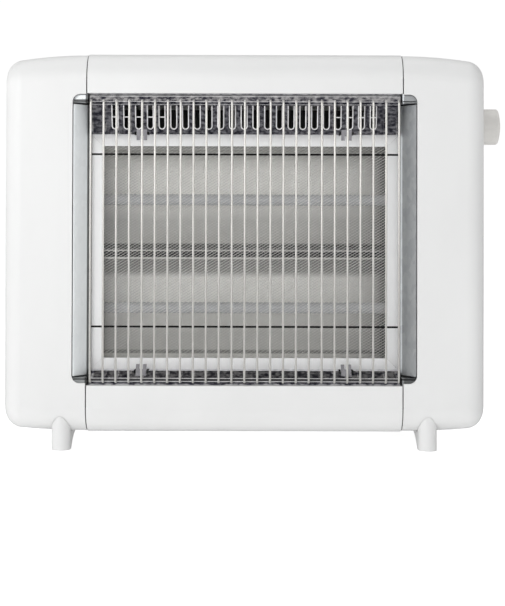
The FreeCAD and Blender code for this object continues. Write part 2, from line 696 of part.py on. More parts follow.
def mesh_panel():
    """A flat sheet of diamond openings that lies behind the frame's lip."""
    half = (frame_half - S.mesh_margin).value
    low, high = (frame_low + S.mesh_margin).value, (frame_high - S.mesh_margin).value
    columns, rows = round(S.mesh_columns.value), round(S.mesh_rows.value)
    clear_half = half - S.stile_wide.value + S.mesh_margin.value
    clear_low, clear_high = low + S.rail_tall.value, high - S.rail_tall.value
    pitch_x, pitch_z = 2 * clear_half / columns, (clear_high - clear_low) / rows
    wide, tall = pitch_x / 2 - S.mesh_strand.value / 2, pitch_z / 2 - S.mesh_strand.value / 2
    y = mesh_y.value

    def closed(points):
        corners = [FreeCAD.Vector(x, y, z) for x, z in points]
        return Part.makePolygon(corners + corners[:1])

    wires = [closed([(-half, low), (half, low), (half, high), (-half, high)])]
    for column in range(columns):
        for row in range(rows):
            x = -clear_half + pitch_x * (column + 0.5)
            z = clear_low + pitch_z * (row + 0.5)
            wires.append(closed([(x - wide, z), (x, z - tall), (x + wide, z), (x, z + tall)]))
    face = Part.makeFace(wires, "Part::FaceMakerBullseye")
    panel = doc.addObject("Part::Feature", "mesh_panel")
    panel.Shape = face.extrude(FreeCAD.Vector(0, S.mesh_thick.value, 0))
    keep(panel, "mesh_panel")


# Heating tubes and their troughs

def trough(name, mouth, low, high):
    """A trough of bright sheet: flanges behind the mesh, two quarter-round walls and a flat back."""
    body = new_body(name)
    deep = trough_y + S.trough_depth
    level, half = (mouth[0] + mouth[1]) / 2, (mouth[1] - mouth[0]) / 2
    rise = half - S.trough_flat
    curve = (S.trough_depth * S.trough_depth + rise * rise) / (S.trough_depth * 2)
    outer = curve + S.reflector
    offset = S.trough_depth - S.reflector - curve
    shoulder = S.trough_flat + root(outer * outer - offset * offset)
    flange_y = trough_y + S.reflector
    section = new_sketch(body, "YZ_Plane")
    draw_loop(section, [
        (trough_y, high), (flange_y, high), (flange_y, level + shoulder, -outer),
        (deep + S.reflector, level + S.trough_flat), (deep + S.reflector, level - S.trough_flat, -outer),
        (flange_y, level - shoulder), (flange_y, low), (trough_y, low),
        (trough_y, level - half, curve), (deep, level - S.trough_flat),
        (deep, level + S.trough_flat, curve), (trough_y, level + half)])
    extrude(body, section, trough_half * 2, both_ways=True)
    keep(body, name)


def heat_shield():
    """Flat plate on the backs of both troughs."""
    plate = box("shield_block", (-trough_half, shield_y, frame_low + S.shield_margin),
                (trough_half, shield_y + S.plate, frame_high - S.shield_margin))
    keep(group("heat_shield", [plate]), "heat_shield")


def heating_tube(name, level):
    """A quartz tube, open along its bore."""
    start, length = (-tube_half, tube_y, level), tube_half * 2
    outside = rod(name + "_outside", "x", start, length, S.tube_radius)
    bore = rod(name + "_bore", "x", start, length, S.tube_radius - S.tube_wall)
    keep(take(name, outside, bore), name)


def filament(name, level):
    """The heating coil as a plain bar of its outer size, with the discs that centre it in the tube."""
    pieces = [rod(name + "_coil", "x", (-tube_half, tube_y, level), tube_half * 2, S.filament_radius)]
    count = round(S.support_count.value)
    pitch = tube_half * 2 / (S.support_count + 1)
    for index in range(1, count + 1):
        start = -tube_half + pitch * index - S.support_thick / 2
        pieces.append(rod(name + "_support", "x", (start, tube_y, level), S.support_thick, S.support_radius))
    keep(join(name, pieces), name)


def ceramic_end(name, sign, level):
    """A ceramic cap with a socket for the tube's end."""
    body = new_body(name)
    inner = (tube_half - S.ceramic_overlap) * sign
    floor = tube_half * sign
    outer = (tube_half - S.ceramic_overlap + S.ceramic_length) * sign
    socket = S.tube_radius + S.fit_gap
    profile = new_sketch(body, "XY_Plane", (0, tube_y, level))
    draw_loop(profile, [(inner, socket), (inner, S.ceramic_radius), (outer, S.ceramic_radius), (outer, 0),
                        (floor, 0), (floor, socket)])
    spin(body, profile)
    keep(body, name)


def tube_holder(name, sign, level):
    """A flanged collar on the bulkhead that carries the ceramic end."""
    body = new_body(name)
    start = bulkhead_outside * sign
    bore = S.ceramic_radius + S.fit_gap
    outside = bore + S.holder_wall
    face = start + S.holder_wall * sign
    finish = start + S.holder_length * sign
    profile = new_sketch(body, "XY_Plane", (0, tube_y, level))
    draw_loop(profile, [(start, bore), (start, S.holder_flange), (face, S.holder_flange), (face, outside),
                        (finish, outside), (finish, bore)])
    spin(body, profile)
    keep(body, name)


# Electrical parts

def thermal_cutout():
    """A round thermal switch on a small strap, on the back of the shield."""
    y = shield_y + S.plate
    level = frame_high - S.shield_margin - S.cutout_wide
    x = S.clip_spread / 2
    strap = box("cutout_strap", (x - S.cutout_wide / 2, y, level - S.cutout_tall / 2),
                (x + S.cutout_wide / 2, y + S.plate, level + S.cutout_tall / 2))
    disc = rod("cutout_disc", "y", (x, y, level), S.cutout_length, S.cutout_radius)
    keep(join("thermal_cutout", [strap, disc]), "thermal_cutout")


def terminal_block():
    """A block with three wire holes, on the floor of the bottom panel."""
    body = new_body("terminal_block")
    x, y = gland_x - S.block_long, S.block_wide
    base = bottom + S.sheet
    plan = new_sketch(body, "XY_Plane", (0, 0, base))
    draw_loop(plan, rectangle(x - S.block_long / 2, y - S.block_wide / 2,
                              x + S.block_long / 2, y + S.block_wide / 2))
    extrude(body, plan, S.block_tall)
    holes = new_sketch(body, "XZ_Plane", (0, 0, -y + S.block_wide / 2))
    for place in (-1, 0, 1):
        draw_circle(holes, x + S.block_long * 0.3 * place, base + S.block_tall / 2, S.gland_bore)
    cut(body, holes, S.block_wide)
    keep(body, "terminal_block")


def cord_gland():
    """A flanged bush in the back cover, with the bore that a cord comes through."""
    body = new_body("cord_gland")
    profile = new_sketch(body, "YZ_Plane", (0, gland_z, gland_x))
    inner, outer = back - S.gland_depth, back + S.gland_proud
    draw_loop(profile, [(inner, S.gland_bore), (outer, S.gland_bore), (outer, S.gland_flange),
                        (back, S.gland_flange), (back, S.gland_neck), (inner, S.gland_neck)])
    spin(body, profile)
    keep(body, "cord_gland")


# Switch and knob

def rotary_switch():
    """The switch's block against the inside of the right cap, bored for its shaft."""
    inside = end - S.cap_wall
    half = S.switch_side / 2
    block = box("switch_block", (inside - S.switch_length, -half, knob_z - half),
                (inside, half, knob_z + half))
    bore = rod("switch_bore", "x", (inside - S.switch_length / 2, 0, knob_z),
               S.switch_length, S.shaft_radius + S.running_gap)
    keep(take("rotary_switch", block, bore), "rotary_switch")


def switch_shaft():
    start = end - S.cap_wall - S.switch_length / 2 + S.running_gap
    length = end + S.knob_gap + S.shaft_reach - start
    shaft = rod("shaft_bar", "x", (start, 0, knob_z), length, S.shaft_radius)
    keep(group("switch_shaft", [shaft]), "switch_shaft")


def control_knob():
    """A domed knob with a round rim, a blind bore for the shaft and a pointer groove."""
    body = new_body("control_knob")
    base = end + S.knob_gap
    face = base + S.knob_length
    flat = S.knob_radius - S.knob_round
    dome = (flat * flat + S.knob_dome * S.knob_dome) / (S.knob_dome * 2)
    bore = S.shaft_radius + S.running_gap
    floor = base + S.shaft_reach + S.running_gap
    profile = new_sketch(body, "XY_Plane", (0, 0, knob_z))
    draw_loop(profile, [(base, bore), (floor, bore), (floor, 0), (face + S.knob_dome, 0, dome),
                        (face, flat, S.knob_round), (face - S.knob_round, S.knob_radius),
                        (base, S.knob_radius)])
    spin(body, profile)
    groove = new_sketch(body, "YZ_Plane", (0, 0, face + S.knob_dome))
    draw_loop(groove, rectangle(-S.pointer_wide / 2, knob_z + S.shaft_radius, S.pointer_wide / 2,
                                knob_z + S.knob_radius))
    cut(body, groove, S.knob_dome + S.pointer_deep)
    keep(body, "control_knob")


# Tip-over switch

tip_outer = -bulkhead_outside - S.tip_long
tip_top = tube_levels["lower"] - S.holder_flange - S.tip_drop
pin_level = tip_top - S.tip_wall - S.pin_drop
tip_middle = -bulkhead_outside - S.tip_long / 2


def tip_switch():
    """A hood on the left bulkhead with a weighted arm that hangs from a pin across it."""
    half = S.tip_wide / 2
    hood_low = tip_top - S.tip_tall
    outside = box("tip_hood", (tip_outer, -half, hood_low), (-bulkhead_outside, half, tip_top))
    inside = box("tip_hollow", (tip_outer + S.tip_wall, -half + S.tip_wall, hood_low - S.tip_tall),
                 (-bulkhead_outside - S.tip_wall, half - S.tip_wall, tip_top - S.tip_wall))
    pin_hole = rod("tip_pin_hole", "x", (tip_outer, 0, pin_level), S.tip_long,
                   S.pin_radius + S.running_gap)
    keep(take("tip_switch_housing", take("tip_shell", outside, inside), pin_hole), "tip_switch_housing")
    pin = rod("pin_bar", "x", (tip_outer, 0, pin_level), S.tip_long, S.pin_radius)
    keep(group("tip_switch_pin", [pin]), "tip_switch_pin")
    contact_half = S.contact_wide / 2
    contact = box("tip_contact", (tip_outer - S.contact_long, -contact_half, tip_top - S.contact_tall),
                  (tip_outer, contact_half, tip_top))
    pocket = rod("tip_contact_hole", "x", (tip_outer - S.contact_long / 2, 0, pin_level),
                 S.contact_long, S.pin_radius * 2)
    keep(take("tip_switch_contact", contact, pocket), "tip_switch_contact")


def tip_pendulum():
    """Hub, arm and weight, free to swing on the pin."""
    start = tip_middle - S.bob_thick / 2
    bob_level = pin_level - S.arm_length
    hub = rod("pendulum_hub", "x", (start, 0, pin_level), S.bob_thick, S.hub_radius)
    bob = rod("pendulum_bob", "x", (start, 0, bob_level), S.bob_thick, S.bob_radius)
    arm = box("pendulum_arm", (tip_middle - S.arm_wide / 2, -S.arm_wide / 2, bob_level),
              (tip_middle + S.arm_wide / 2, S.arm_wide / 2, pin_level))
    bore = rod("pendulum_bore", "x", (start, 0, pin_level), S.bob_thick, S.pin_radius + S.running_gap)
    keep(take("tip_switch_pendulum", join("pendulum_solid", [hub, bob, arm]), bore), "tip_switch_pendulum")


# Screws

def screw(axis, seat, way):
    """A pan-head screw whose head lies on the seat; way is +1 when its point is on the + side."""
    letter = "xyz".index(axis)
    shank_start, head_start = list(seat), list(seat)
    if way > 0:
        head_start[letter] = seat[letter] - S.screw_head_tall
    else:
        shank_start[letter] = seat[letter] - S.screw_length
    shank = rod("screw_shank", axis, shank_start, S.screw_length, S.screw_radius)
    head = rod("screw_head", axis, head_start, S.screw_head_tall, S.screw_head)
    return join("screw", [shank, head])


def cover_screws():
    screws = [screw("y", (cover_screw_x * place, back, level), -1)
              for level in cover_screw_levels for place in (-1, 0, 1)]
    keep(group("back_cover_screws", screws), "back_cover_screws")


def foot_screws():
    screws = [screw("z", (foot_x * sign, S.foot_screws_apart / 2 * way, S.arch_height), 1)
              for sign in sides.values() for way in (-1, 1)]
    keep(group("foot_screws", screws), "foot_screws")


# The whole heater

for side, sign in sides.items():
    end_cap(side, sign)
    foot(side, sign)
    side_plate(side, sign)
case_panel("top_panel", top, 1, window_high, cover_high)
case_panel("bottom_panel", bottom, -1, window_low, cover_low)
back_cover()
guard_uprights()
guard_cross_wires()
top_reflector()
bottom_reflector()
frame_rail("frame_top_rail", level_rail(frame_high, 1))
frame_rail("frame_bottom_rail", level_rail(frame_low, -1))
frame_rail("frame_left_rail", upright_rail(-1))
frame_rail("frame_right_rail", upright_rail(1))
frame_clips()
mesh_panel()
trough("upper_reflector", trough_mouths["upper"], tube_middle + S.trough_gap / 2, frame_high)
trough("lower_reflector", trough_mouths["lower"], frame_low, tube_middle - S.trough_gap / 2)
heat_shield()
for level_name, level in tube_levels.items():
    heating_tube(level_name + "_heating_tube", level)
    filament(level_name + "_filament", level)
    for side, sign in sides.items():
        ceramic_end(f"{level_name}_{side}_ceramic_end", sign, level)
        tube_holder(f"{level_name}_{side}_tube_holder", sign, level)
thermal_cutout()
terminal_block()
cord_gland()
rotary_switch()
switch_shaft()
control_knob()
tip_switch()
tip_pendulum()
cover_screws()
foot_screws()
doc.recompute()

failed = [thing.Name for thing in doc.Objects if {"Invalid", "Error"} & set(thing.State)]
failed += [thing.Label for thing in sub_parts if thing.Shape.isNull() or not thing.Shape.isValid()]
if failed:
    raise ValueError(f"these did not come out: {failed}")
os.makedirs("parts", exist_ok=True)
for thing in sub_parts:
    thing.Shape.exportStep(os.path.join("parts", thing.Label + ".step"))
    print(thing.Label, len(thing.Shape.Solids), round(thing.Shape.Volume, 1))
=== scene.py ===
import json
import math

import bpy
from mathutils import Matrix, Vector


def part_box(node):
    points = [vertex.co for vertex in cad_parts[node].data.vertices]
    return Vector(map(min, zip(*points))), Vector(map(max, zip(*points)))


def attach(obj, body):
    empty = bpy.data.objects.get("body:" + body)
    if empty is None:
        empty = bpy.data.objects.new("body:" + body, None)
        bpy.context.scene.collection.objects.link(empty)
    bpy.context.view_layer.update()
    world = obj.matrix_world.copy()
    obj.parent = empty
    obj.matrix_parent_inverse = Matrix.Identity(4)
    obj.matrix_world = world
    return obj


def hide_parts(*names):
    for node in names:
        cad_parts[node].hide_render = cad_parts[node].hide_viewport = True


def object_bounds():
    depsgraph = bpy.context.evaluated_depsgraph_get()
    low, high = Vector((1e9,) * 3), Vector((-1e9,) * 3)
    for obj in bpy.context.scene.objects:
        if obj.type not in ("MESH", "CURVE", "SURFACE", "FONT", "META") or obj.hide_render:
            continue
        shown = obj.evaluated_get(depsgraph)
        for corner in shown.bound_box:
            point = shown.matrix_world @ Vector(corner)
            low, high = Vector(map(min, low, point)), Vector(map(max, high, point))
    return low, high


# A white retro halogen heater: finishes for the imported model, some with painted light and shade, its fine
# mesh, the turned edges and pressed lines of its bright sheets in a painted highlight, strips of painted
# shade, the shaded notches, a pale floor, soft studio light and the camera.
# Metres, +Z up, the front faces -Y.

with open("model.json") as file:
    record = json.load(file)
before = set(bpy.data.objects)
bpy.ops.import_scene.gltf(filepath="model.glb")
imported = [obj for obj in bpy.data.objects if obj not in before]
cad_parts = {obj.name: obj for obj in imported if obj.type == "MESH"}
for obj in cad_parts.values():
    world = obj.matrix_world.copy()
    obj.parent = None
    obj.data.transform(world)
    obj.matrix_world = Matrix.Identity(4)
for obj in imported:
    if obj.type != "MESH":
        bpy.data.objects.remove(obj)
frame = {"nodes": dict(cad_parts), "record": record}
cad_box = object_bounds()
MM = 0.001

# The photograph's frame and viewpoint
IMAGE_HEIGHT = 606
PIXELS_PER_MM = 1.0
VIEW_DISTANCE = 1.4
HORIZON_ROW = 214.6
EYE_HEIGHT = 0.2365
EYE_X = -0.0057
ROLL_DEGREES = -0.15
PITCH_DEGREES = 0.8

# The studio
BACKDROP_GLOW, ROOM_LIGHT = 1.02, 0.45
WALLS_IN_CHROME = 1.0
FRONT_IN_CHROME = 0.28
TOP_IN_CHROME = 0.1
WALL_SPAN, HEIGHT_SPAN = (0.3, 0.8), (0.15, 0.7)
FLOOR_IN_CHROME = (0.14, 0.26)
FLOOR_GLOW = (0.35, 0.62)
KEY_POWER, SIDE_POWER, FRONT_POWER, TOP_POWER = 10.8, 2.5, 7.2, 13

# The fine mesh
DIAMOND_WIDE = 4.8 * MM
DIAMOND_TALL = 2.9 * MM
RISING_STRAND, FALLING_STRAND = 0.52 * MM, 0.2 * MM
MESH_BORDER = 6 * MM

# Painted light on the troughs' sheet: painted reflections and painted shade by the share of their height,
# painted shade towards both ends by the share of their width
UPPER_PAINTED_LIGHT = ((0, 0.55), (0.007, 0.55), (0.013, 0.06), (0.052, 0.06), (0.07, 0.54), (0.16, 0.6),
               (0.26, 0.58), (0.365, 0.84), (0.55, 0.98), (0.7, 0.98), (0.78, 0.8), (0.88, 0.36))
LOWER_PAINTED_LIGHT = ((0, 0.84), (0.113, 0.84), (0.122, 0.3), (0.139, 0.3), (0.151, 0.62), (0.3, 0.56),
               (0.45, 0.72), (0.6, 0.9), (0.7, 0.98), (0.8, 0.98), (0.86, 0.34), (0.98, 0.24),
               (0.988, 0.55), (1, 0.55))
WIDTH_PAINTED_SHADE = ((0.05, 1), (0.67, 0.98), (0.84, 0.9), (0.9, 0.76), (0.92, 0.66), (0.94, 0.48),
               (0.96, 0.2))
WARM = (1, 0.995, 0.975)

# The case's whites, the seam between each cap and the panels, and the painted shade inside the seam and
# inside the back cover
CASE_WHITES = (0.735, 0.735, 0.73), (0.765, 0.765, 0.76)
SEAM = 1.1 * MM
SHADE = ((0, 1), (1, 0.08))
LIP_START, LIP_END = 0.02 * MM, 0.2 * MM
COVER_SKIN, COVER_FADE = 0.5 * MM, 0.2 * MM

# Where the side plates carry painted shade or a painted highlight: beside their folds, and on their ledges
FOLD_SHADE_INSET, FOLD_PAINTED_LIGHT_SPAN = 2.3 * MM, 2.2 * MM
LEDGE_RISE = 8.6 * MM
HIGH_LEDGE = (9.9 * MM, 5.7 * MM)
PLATE_FADE = 0.3 * MM
FOLD_PAINTED_SHADE = ((0, 1), (1, 0.15))
LOW_LEDGE_PAINTED_SHADE = ((0, 1), (1, 0.3))
HIGH_LEDGE_PAINTED_SHADE = ((0, 1), (0.06, 0.3), (0.94, 0.3), (1, 1))
RIGHT_PLATE_PAINTED_LIGHT = ((0, 0.25), (0.2, 0.25), (0.36, 1), (0.86, 1), (1, 0.41))

# The window's top edge and the rounded notch beside it
WINDOW_DROP = 41.1 * MM
NOTCH_WIDE, NOTCH_DROP, NOTCH_RADIUS = 14.7 * MM, 0.9 * MM, 8 * MM
NOTCH_LINE = 0.5 * MM

# The bright sheets above and below the frame
BEND_HIGH, BEND_LOW, FACE_RUN = 8.4 * MM, 5.85 * MM, 6 * MM
SLOT_COUNT, SLOT_PITCH, SLOT_SHIFT, SLOT_WIDE = 23, 260.4 / 22 * MM, -0.8 * MM, 6 * MM
SLOT_LOW, SLOT_HIGH = 5.3 * MM, 3.4 * MM
RIM_RADIUS = 0.6 * MM
TIE_LEVEL, TIE_TALL, TIE_THICK, TIE_BEHIND = 16.4 * MM, 1.1 * MM, 0.6 * MM, 2.2 * MM
LEFT_TIES, RIGHT_TIES = 5, 4

# The pressed lines (painted highlights) and strips (painted shade) of the bright sheets: radius, and
# distance from the hem or the bend
TOP_LINE, SLOT_LINE, BOTTOM_LINE = 0.18 * MM, 0.13 * MM, 0.3 * MM
BELOW_HEM, ABOVE_BEND, BELOW_BEND = 2.6 * MM, 0.65 * MM, 2.3 * MM
LOW_ABOVE_BEND, LOW_BELOW_BEND = 0.7 * MM, 2.35 * MM
STRIP_LOW, STRIP_HIGH, STRIP_PROUD = 1.9 * MM, 0.5 * MM, 0.12 * MM
GROOVE_BELOW, GROOVE_ABOVE = 1.9 * MM, 0.1 * MM


# Node helpers

def start_material(name):
    """A new node material and its main shader."""
    material = bpy.data.materials.new(name)
    material.use_nodes = True
    return material, material.node_tree.nodes["Principled BSDF"]


def add_node(material, kind, **inputs):
    node = material.node_tree.nodes.new(kind)
    for name, value in inputs.items():
        node.inputs[name].default_value = value
    return node


def link(material, source, target):
    material.node_tree.links.new(source, target)


def surface_place(material, stretch=(1, 1, 1)):
    """The place on the object, stretched along its axes."""
    place = add_node(material, "ShaderNodeTexCoord")
    mapping = add_node(material, "ShaderNodeMapping", Scale=stretch)
    link(material, place.outputs["Object"], mapping.inputs["Vector"])
    return mapping.outputs["Vector"]


def noise(material, scale, detail=3, stretch=(1, 1, 1)):
    texture = add_node(material, "ShaderNodeTexNoise", Scale=scale, Detail=detail)
    link(material, surface_place(material, stretch), texture.inputs["Vector"])
    return texture.outputs["Fac"]


def cells(material, scale, stretch=(1, 1, 1)):
    """A random grey for each cell of a crystal-like pattern."""
    texture = add_node(material, "ShaderNodeTexVoronoi", Scale=scale)
    link(material, surface_place(material, stretch), texture.inputs["Vector"])
    grey = add_node(material, "ShaderNodeRGBToBW")
    link(material, texture.outputs["Color"], grey.inputs["Color"])
    return grey.outputs["Val"]


def between(material, factor, low, high, start=0.3, finish=0.7):
    """A number that goes from low to high as the factor goes from start to finish."""
    ramp = add_node(material, "ShaderNodeMapRange")
    for name, value in (("From Min", start), ("From Max", finish), ("To Min", low), ("To Max", high)):
        ramp.inputs[name].default_value = value
    link(material, factor, ramp.inputs["Value"])
    return ramp.outputs["Result"]


def colours(material, factor, dark, light, start=0.3, finish=0.7):
    """A colour that goes from dark to light as the factor goes from start to finish."""
    mix = add_node(material, "ShaderNodeMix")
    mix.data_type = "RGBA"
    link(material, between(material, factor, 0, 1, start, finish), mix.inputs["Factor"])
    mix.inputs[6].default_value = (*dark, 1)
    mix.inputs[7].default_value = (*light, 1)
    return mix.outputs[2]


def bump(material, shader, height, distance, strength=1.0):
    node = add_node(material, "ShaderNodeBump", Strength=strength, Distance=distance)
    link(material, height, node.inputs["Height"])
    link(material, node.outputs["Normal"], shader.inputs["Normal"])


def multiplied(material, first, second):
    blend = add_node(material, "ShaderNodeMixRGB", Fac=1)
    blend.blend_type = "MULTIPLY"
    link(material, first, blend.inputs["Color1"])
    link(material, second, blend.inputs["Color2"])
    return blend.outputs["Color"]


def object_axis(material, axis):
    """The place on the object along X, Y or Z."""
    place = add_node(material, "ShaderNodeSeparateXYZ")
    link(material, surface_place(material), place.inputs["Vector"])
    return place.outputs[axis]


def toned(material, axis, low, high, tones, tint=(1, 1, 1)):
    """Greys, or a tint of them, by the share of the way from low to high along an axis."""
    ramp = add_node(material, "ShaderNodeValToRGB")
    stops = ramp.color_ramp.elements
    stops[0].position, stops[1].position = tones[0][0], tones[-1][0]
    for share, tone in tones[1:-1]:
        stops.new(share)
    for stop, (share, tone) in zip(stops, tones):
        stop.color = (*(tone * part for part in tint), 1)
    link(material, between(material, object_axis(material, axis), 0, 1, low, high), ramp.inputs["Fac"])
    return ramp.outputs["Color"]


def with_painted_shade(material, tone, stretches):
    """The tone, darkened by painted shade along stretches: each has an axis, its two ends and the greys
    between them.
    """
    for stretch in stretches:
        tone = multiplied(material, tone, toned(material, *stretch))
    return tone


# Finishes

def white_plastic(name="white_plastic", stretches=()):
    """Satin moulded plastic: faint flow marks and a fine grain, with painted shade along some stretches."""
    material, shader = start_material(name)
    flow = noise(material, 14, stretch=(1, 1, 0.4))
    tone = colours(material, flow, (0.735, 0.735, 0.73), (0.77, 0.77, 0.765))
    link(material, with_painted_shade(material, tone, stretches), shader.inputs["Base Color"])
    link(material, between(material, noise(material, 60), 0.36, 0.46), shader.inputs["Roughness"])
    bump(material, shader, noise(material, 1600), 0.03 * MM, 0.4)
    return material


def white_paint(name, dark, light, stretches=()):
    """Baked enamel on sheet steel, with its faint orange peel, and painted shade along some stretches."""
    material, shader = start_material(name)
    tone = colours(material, noise(material, 11), dark, light)
    link(material, with_painted_shade(material, tone, stretches), shader.inputs["Base Color"])
    link(material, between(material, noise(material, 90), 0.3, 0.38), shader.inputs["Roughness"])
    bump(material, shader, noise(material, 420), 0.02 * MM, 0.25)
    return material


def knob_plastic():
    material, shader = start_material("knob_plastic")
    tone = colours(material, noise(material, 40), (0.72, 0.705, 0.675), (0.78, 0.76, 0.73))
    link(material, tone, shader.inputs["Base Color"])
    link(material, between(material, noise(material, 120), 0.38, 0.5), shader.inputs["Roughness"])
    bump(material, shader, noise(material, 1800), 0.04 * MM, 0.5)
    return material


def plated_wire(name, metal, dark, light):
    """Bright plated wire, with the faint streaks of drawing along its length."""
    material, shader = start_material(name)
    shader.inputs["Metallic"].default_value = metal
    streaks = noise(material, 300, stretch=(1, 1, 0.06))
    link(material, colours(material, streaks, dark, light), shader.inputs["Base Color"])
    link(material, between(material, noise(material, 150), 0.16, 0.26), shader.inputs["Roughness"])
    bump(material, shader, streaks, 0.01 * MM, 0.2)
    return material


def galvanised(name, metal, dark, light, stretches=()):
    """Zinc coating with its spangle, and painted shade along some stretches."""
    material, shader = start_material(name)
    shader.inputs["Metallic"].default_value = metal
    tone = colours(material, cells(material, 240, (1, 1, 0.6)), dark, light, 0.1, 0.9)
    link(material, with_painted_shade(material, tone, stretches), shader.inputs["Base Color"])
    link(material, between(material, noise(material, 130), 0.36, 0.5), shader.inputs["Roughness"])
    bump(material, shader, noise(material, 500), 0.02 * MM, 0.3)
    return material


def bright_sheet(name, metal, smooth, rough, dark, light, waves=0.02 * MM):
    """Bright rolled sheet, mottled and a little wavy, with fine rolling lines along X."""
    material, shader = start_material(name)
    shader.inputs["Metallic"].default_value = metal
    lines = noise(material, 500, stretch=(0.03, 1, 1))
    mottle = noise(material, 330, stretch=(0.6, 1, 1))
    link(material, colours(material, mottle, dark, light, 0.38, 0.62), shader.inputs["Base Color"])
    link(material, between(material, lines, smooth, rough), shader.inputs["Roughness"])
    bump(material, shader, noise(material, 320), waves, 0.35)
    return material


def trough_sheet(name, node, tones):
    """Satin sheet with painted reflections and painted shade along its height, painted shade on its lips
    and towards both ends, and fine rolling lines along X.
    """
    material, shader = start_material(name)
    shader.inputs["Metallic"].default_value = 0.1
    low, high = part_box(node)
    painted_light_by_height = toned(material, "Z", low.z, high.z, tones, WARM)
    painted_shade_by_width = toned(material, "X", low.x, high.x, WIDTH_PAINTED_SHADE, WARM)
    link(material, multiplied(material, painted_light_by_height, painted_shade_by_width), shader.inputs["Base Color"])
    lines = noise(material, 500, stretch=(0.03, 1, 1))
    link(material, between(material, lines, 0.35, 0.5), shader.inputs["Roughness"])
    bump(material, shader, lines, 0.02 * MM, 0.3)
    return material


def mesh_wire():
    material, shader = start_material("mesh_wire")
    shader.inputs["Metallic"].default_value = 0.15
    link(material, colours(material, noise(material, 260), (0.62, 0.61, 0.59), (0.74, 0.73, 0.71)),
         shader.inputs["Base Color"])
    link(material, between(material, noise(material, 120), 0.4, 0.55), shader.inputs["Roughness"])
    bump(material, shader, noise(material, 2400), 0.02 * MM, 0.3)
    return material


def quartz():
    """Milky quartz glass with drawing lines along the tube."""
    material, shader = start_material("quartz")
    shader.inputs["Transmission Weight"].default_value = 0.3
    shader.inputs["IOR"].default_value = 1.46
    lines = noise(material, 700, stretch=(0.02, 1, 1))
    tone = colours(material, lines, (0.66, 0.67, 0.69), (0.74, 0.75, 0.77))
    link(material, tone, shader.inputs["Base Color"])
    link(material, between(material, lines, 0.08, 0.2), shader.inputs["Roughness"])
    return material


def filament_wire():
    material, shader = start_material("filament_wire")
    shader.inputs["Metallic"].default_value = 1
    link(material, colours(material, noise(material, 500), (0.2, 0.19, 0.18), (0.36, 0.34, 0.32)),
         shader.inputs["Base Color"])
    link(material, between(material, noise(material, 300), 0.4, 0.6), shader.inputs["Roughness"])
    return material


def white_ceramic():
    material, shader = start_material("white_ceramic")
    link(material, colours(material, noise(material, 90), (0.72, 0.70, 0.66), (0.82, 0.80, 0.77)),
         shader.inputs["Base Color"])
    link(material, between(material, noise(material, 200), 0.55, 0.7), shader.inputs["Roughness"])
    bump(material, shader, noise(material, 900), 0.08 * MM, 0.5)
    return material


def dark_plastic():
    material, shader = start_material("dark_plastic")
    link(material, colours(material, noise(material, 70), (0.025, 0.025, 0.027), (0.05, 0.05, 0.053)),
         shader.inputs["Base Color"])
    link(material, between(material, noise(material, 160), 0.45, 0.6), shader.inputs["Roughness"])
    bump(material, shader, noise(material, 1400), 0.06 * MM, 0.5)
    return material


def plated_steel():
    material, shader = start_material("plated_steel")
    shader.inputs["Metallic"].default_value = 1
    link(material, colours(material, noise(material, 200), (0.5, 0.5, 0.49), (0.66, 0.66, 0.65)),
         shader.inputs["Base Color"])
    link(material, between(material, noise(material, 240), 0.26, 0.42), shader.inputs["Roughness"])
    bump(material, shader, noise(material, 900), 0.03 * MM, 0.4)
    return material


def cap_plastic(side, rim, sign):
    """A cap's plastic with painted shade on the lip inside the seam; sign points from the middle to the
    cap.
    """
    lip = ("X", rim - LIP_START * sign, rim - LIP_END * sign, SHADE)
    return white_plastic(side + "_cap_plastic", [lip])


def cover_paint():
    """The back cover's paint, with painted shade on its inside."""
    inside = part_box("back_cover")[1].y - COVER_SKIN
    stretch = ("Y", inside + COVER_FADE, inside - COVER_FADE, SHADE)
    return white_paint("cover_paint", *CASE_WHITES, [stretch])


def low_ledge_painted_shade():
    """Where painted shade darkens the side plates' lower ledges."""
    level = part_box("bottom_reflector")[0].z + LEDGE_RISE
    return ("Z", level + PLATE_FADE, level, LOW_LEDGE_PAINTED_SHADE)


def left_plate_zinc():
    """Zinc painted pale as painted light, with painted shade beside the fold and on both ledges."""
    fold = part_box("left_side_plate")[1].x - FOLD_SHADE_INSET
    fold_painted_light = ("X", fold - PLATE_FADE, fold + PLATE_FADE, FOLD_PAINTED_SHADE)
    window_top = cad_box[1].z - WINDOW_DROP
    high_ledge_painted_shade = ("Z", window_top - HIGH_LEDGE[0], window_top - HIGH_LEDGE[1], HIGH_LEDGE_PAINTED_SHADE)
    return galvanised("left_zinc_painted_light", 0.05, (0.90, 0.93, 0.94), (0.95, 0.98, 0.99),
                      (fold_painted_light, low_ledge_painted_shade(), high_ledge_painted_shade))


def right_plate_zinc():
    """Zinc darkened by painted shade, darkest on the bulkhead and the lower ledge, with a painted highlight
    beside the fold.
    """
    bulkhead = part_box("right_side_plate")[0].x
    fold_painted_light = ("X", bulkhead, bulkhead + FOLD_PAINTED_LIGHT_SPAN, RIGHT_PLATE_PAINTED_LIGHT)
    return galvanised("right_zinc_painted_shade", 0.2, (0.76, 0.79, 0.82), (0.96, 0.99, 1), (fold_painted_light, low_ledge_painted_shade()))


def slot_finishes():
    """A finish for each material slot of the record."""
    makers = (white_plastic, knob_plastic, mesh_wire, quartz, filament_wire, white_ceramic, dark_plastic,
              plated_steel)
    finishes = {maker.__name__: maker() for maker in makers}
    finishes["white_paint"] = white_paint("white_paint", *CASE_WHITES)
    finishes["guard_chrome"] = plated_wire("guard_chrome", 0.5, (0.70, 0.69, 0.66), (0.78, 0.77, 0.74))
    finishes["galvanised"] = galvanised("galvanised", 0.6, (0.5, 0.52, 0.53), (0.62, 0.64, 0.65))
    finishes["bright_sheet"] = bright_sheet(
        "bright_sheet", 1, 0.03, 0.08, (0.10, 0.10, 0.14), (0.94, 0.93, 0.96), 0.07 * MM)
    return finishes


